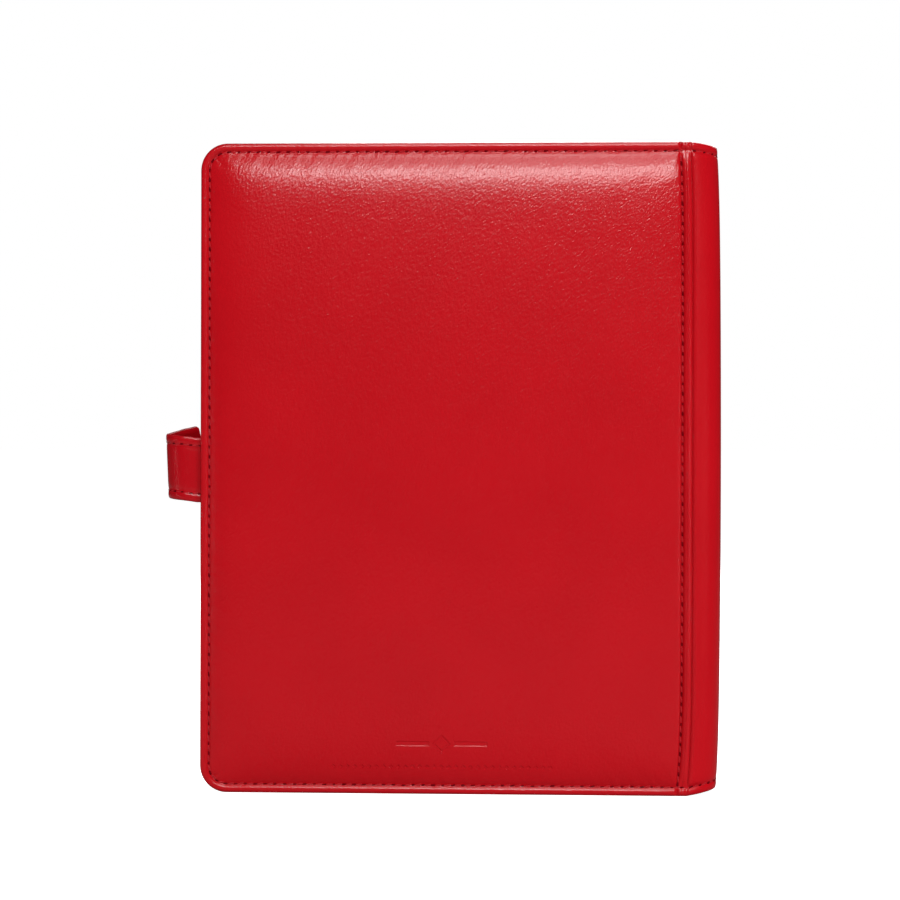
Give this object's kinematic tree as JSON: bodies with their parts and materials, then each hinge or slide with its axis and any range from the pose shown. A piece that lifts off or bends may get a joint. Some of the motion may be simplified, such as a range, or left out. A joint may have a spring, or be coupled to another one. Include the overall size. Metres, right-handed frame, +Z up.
{
  "type": "trading card binder",
  "caption": "Padded red leatherette card binder with hinged covers, bound side-loading pocket leaves and a snap strap at the fore-edge.",
  "frame": {"origin": "on the floor under the middle of the part's box, strap included", "axes": "+Z up along the spine, +X towards the spine, -Y towards the back cover, the strap at the fore-edge at -X"},
  "size_m": [0.1876, 0.0794, 0.216],
  "materials": {
    "red_leatherette": "glossy, fine pebbled grain",
    "red_strap": "glossy, fine pebbled grain",
    "black_lining": "matt",
    "greyboard": "raw board",
    "foam": "open cell foam",
    "leaf_film": "black backing under clear film",
    "backbone_plastic": "welded film edges",
    "snap_metal": "nickel plated"
  },
  "bodies": {
    "spine": {"spine_skin": "red_leatherette", "spine_board": "greyboard", "spine_lining": "black_lining", "back_hinge_strip": "red_leatherette", "front_hinge_strip": "red_leatherette", "page_backbone": "backbone_plastic"},
    "back_cover": {"back_cover_skin": "red_leatherette", "back_foam_pad": "foam", "back_cover_board": "greyboard", "back_cover_lining": "black_lining", "strap_anchor": "red_strap"},
    "front_cover": {"front_cover_skin": "red_leatherette", "front_foam_pad": "foam", "front_cover_board": "greyboard", "front_cover_lining": "black_lining", "snap_stud": "snap_metal", "snap_rivet": "snap_metal"},
    "strap_base": {"strap_base_outer": "red_strap", "strap_base_lining": "red_strap"},
    "strap_tab": {"strap_tab_outer": "red_strap", "strap_tab_lining": "red_strap", "snap_cap": "snap_metal", "snap_socket": "snap_metal"},
    "page_01": {"page_01": "leaf_film"},
    "page_02": {"page_02": "leaf_film"},
    "page_03": {"page_03": "leaf_film"},
    "page_04": {"page_04": "leaf_film"},
    "page_05": {"page_05": "leaf_film"},
    "page_06": {"page_06": "leaf_film"},
    "page_07": {"page_07": "leaf_film"},
    "page_08": {"page_08": "leaf_film"},
    "page_09": {"page_09": "leaf_film"},
    "page_10": {"page_10": "leaf_film"},
    "page_11": {"page_11": "leaf_film"},
    "page_12": {"page_12": "leaf_film"},
    "page_13": {"page_13": "leaf_film"},
    "page_14": {"page_14": "leaf_film"},
    "page_15": {"page_15": "leaf_film"},
    "page_16": {"page_16": "leaf_film"},
    "page_17": {"page_17": "leaf_film"},
    "page_18": {"page_18": "leaf_film"},
    "page_19": {"page_19": "leaf_film"},
    "page_20": {"page_20": "leaf_film"}
  },
  "joints": [
    {"name": "back_cover_hinge", "type": "hinge", "parent": "spine", "child": "back_cover", "pos_m": [0.0845, -0.03655, 0.108], "axis": [0, 0, 1], "range_deg": [0, 105], "deforming": ["back_hinge_strip"]},
    {"name": "front_cover_hinge", "type": "hinge", "parent": "spine", "child": "front_cover", "pos_m": [0.0845, -0.01195, 0.108], "axis": [0, 0, -1], "range_deg": [0, 105], "deforming": ["front_hinge_strip"]},
    {"name": "strap_swing", "type": "hinge", "parent": "back_cover", "child": "strap_base", "pos_m": [-0.0799, -0.03465, 0.108], "axis": [0, 0, 1], "range_deg": [0, 70]},
    {"name": "strap_fold", "type": "hinge", "parent": "strap_base", "child": "strap_tab", "pos_m": [-0.09, -0.00625, 0.108], "axis": [0, 0, -1], "range_deg": [0, 90]},
    {"name": "page_01_hinge", "type": "hinge", "parent": "spine", "child": "page_01", "pos_m": [0.0801, -0.0157, 0.108], "axis": [0, 0, -1], "range_deg": [0, 47.8]},
    {"name": "page_02_hinge", "type": "hinge", "parent": "spine", "child": "page_02", "pos_m": [0.0801, -0.0166, 0.108], "axis": [0, 0, -1], "range_deg": [0, 43]},
    {"name": "page_03_hinge", "type": "hinge", "parent": "spine", "child": "page_03", "pos_m": [0.0801, -0.0175, 0.108], "axis": [0, 0, -1], "range_deg": [0, 38.3]},
    {"name": "page_04_hinge", "type": "hinge", "parent": "spine", "child": "page_04", "pos_m": [0.0801, -0.0184, 0.108], "axis": [0, 0, -1], "range_deg": [0, 33.6]},
    {"name": "page_05_hinge", "type": "hinge", "parent": "spine", "child": "page_05", "pos_m": [0.0801, -0.0193, 0.108], "axis": [0, 0, -1], "range_deg": [0, 28.9]},
    {"name": "page_06_hinge", "type": "hinge", "parent": "spine", "child": "page_06", "pos_m": [0.0801, -0.0202, 0.108], "axis": [0, 0, -1], "range_deg": [0, 24.1]},
    {"name": "page_07_hinge", "type": "hinge", "parent": "spine", "child": "page_07", "pos_m": [0.0801, -0.0211, 0.108], "axis": [0, 0, -1], "range_deg": [0, 19.4]},
    {"name": "page_08_hinge", "type": "hinge", "parent": "spine", "child": "page_08", "pos_m": [0.0801, -0.022, 0.108], "axis": [0, 0, -1], "range_deg": [0, 14.7]},
    {"name": "page_09_hinge", "type": "hinge", "parent": "spine", "child": "page_09", "pos_m": [0.0801, -0.0229, 0.108], "axis": [0, 0, -1], "range_deg": [0, 9.9]},
    {"name": "page_10_hinge", "type": "hinge", "parent": "spine", "child": "page_10", "pos_m": [0.0801, -0.0238, 0.108], "axis": [0, 0, -1], "range_deg": [0, 5.2]},
    {"name": "page_11_hinge", "type": "hinge", "parent": "spine", "child": "page_11", "pos_m": [0.0801, -0.0247, 0.108], "axis": [0, 0, 1], "range_deg": [0, 5.2]},
    {"name": "page_12_hinge", "type": "hinge", "parent": "spine", "child": "page_12", "pos_m": [0.0801, -0.0256, 0.108], "axis": [0, 0, 1], "range_deg": [0, 9.9]},
    {"name": "page_13_hinge", "type": "hinge", "parent": "spine", "child": "page_13", "pos_m": [0.0801, -0.0265, 0.108], "axis": [0, 0, 1], "range_deg": [0, 14.7]},
    {"name": "page_14_hinge", "type": "hinge", "parent": "spine", "child": "page_14", "pos_m": [0.0801, -0.0274, 0.108], "axis": [0, 0, 1], "range_deg": [0, 19.4]},
    {"name": "page_15_hinge", "type": "hinge", "parent": "spine", "child": "page_15", "pos_m": [0.0801, -0.0283, 0.108], "axis": [0, 0, 1], "range_deg": [0, 24.1]},
    {"name": "page_16_hinge", "type": "hinge", "parent": "spine", "child": "page_16", "pos_m": [0.0801, -0.0292, 0.108], "axis": [0, 0, 1], "range_deg": [0, 28.9]},
    {"name": "page_17_hinge", "type": "hinge", "parent": "spine", "child": "page_17", "pos_m": [0.0801, -0.0301, 0.108], "axis": [0, 0, 1], "range_deg": [0, 33.6]},
    {"name": "page_18_hinge", "type": "hinge", "parent": "spine", "child": "page_18", "pos_m": [0.0801, -0.031, 0.108], "axis": [0, 0, 1], "range_deg": [0, 38.3]},
    {"name": "page_19_hinge", "type": "hinge", "parent": "spine", "child": "page_19", "pos_m": [0.0801, -0.0319, 0.108], "axis": [0, 0, 1], "range_deg": [0, 43]},
    {"name": "page_20_hinge", "type": "hinge", "parent": "spine", "child": "page_20", "pos_m": [0.0801, -0.0328, 0.108], "axis": [0, 0, 1], "range_deg": [0, 47.8]}
  ],
  "couplings": [
    {"joint": "page_01_hinge", "follows": "front_cover_hinge", "ratio": 0.45},
    {"joint": "page_02_hinge", "follows": "front_cover_hinge", "ratio": 0.405},
    {"joint": "page_03_hinge", "follows": "front_cover_hinge", "ratio": 0.36},
    {"joint": "page_04_hinge", "follows": "front_cover_hinge", "ratio": 0.315},
    {"joint": "page_05_hinge", "follows": "front_cover_hinge", "ratio": 0.27},
    {"joint": "page_06_hinge", "follows": "front_cover_hinge", "ratio": 0.225},
    {"joint": "page_07_hinge", "follows": "front_cover_hinge", "ratio": 0.18},
    {"joint": "page_08_hinge", "follows": "front_cover_hinge", "ratio": 0.135},
    {"joint": "page_09_hinge", "follows": "front_cover_hinge", "ratio": 0.09},
    {"joint": "page_10_hinge", "follows": "front_cover_hinge", "ratio": 0.045},
    {"joint": "page_11_hinge", "follows": "back_cover_hinge", "ratio": 0.045},
    {"joint": "page_12_hinge", "follows": "back_cover_hinge", "ratio": 0.09},
    {"joint": "page_13_hinge", "follows": "back_cover_hinge", "ratio": 0.135},
    {"joint": "page_14_hinge", "follows": "back_cover_hinge", "ratio": 0.18},
    {"joint": "page_15_hinge", "follows": "back_cover_hinge", "ratio": 0.225},
    {"joint": "page_16_hinge", "follows": "back_cover_hinge", "ratio": 0.27},
    {"joint": "page_17_hinge", "follows": "back_cover_hinge", "ratio": 0.315},
    {"joint": "page_18_hinge", "follows": "back_cover_hinge", "ratio": 0.36},
    {"joint": "page_19_hinge", "follows": "back_cover_hinge", "ratio": 0.405},
    {"joint": "page_20_hinge", "follows": "back_cover_hinge", "ratio": 0.45}
  ]
}
